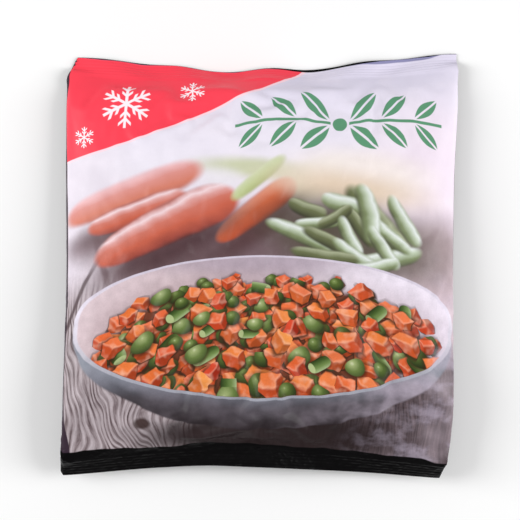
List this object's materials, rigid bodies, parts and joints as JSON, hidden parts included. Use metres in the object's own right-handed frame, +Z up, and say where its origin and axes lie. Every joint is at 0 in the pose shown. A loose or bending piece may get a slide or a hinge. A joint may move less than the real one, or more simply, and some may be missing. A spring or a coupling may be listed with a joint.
{
  "type": "frozen vegetable bag",
  "caption": "Full pillow bag of printed film for frozen vegetables, lying on its back, with a flat heat-sealed fin across each end.",
  "frame": {"origin": "on the resting face of the back, under the middle of the bag's box", "axes": "+Z up, out of the printed front; +Y towards the top seal; +X to the right as the front is read"},
  "size_m": [0.2064, 0.2206, 0.035],
  "materials": {
    "printed_film": "satin printed film: pale lilac upper field, red corner, bowl of diced vegetables on grey timber, near-black foot band and back"
  },
  "bodies": {
    "root": {"bag": "printed_film"}
  },
  "joints": []
}
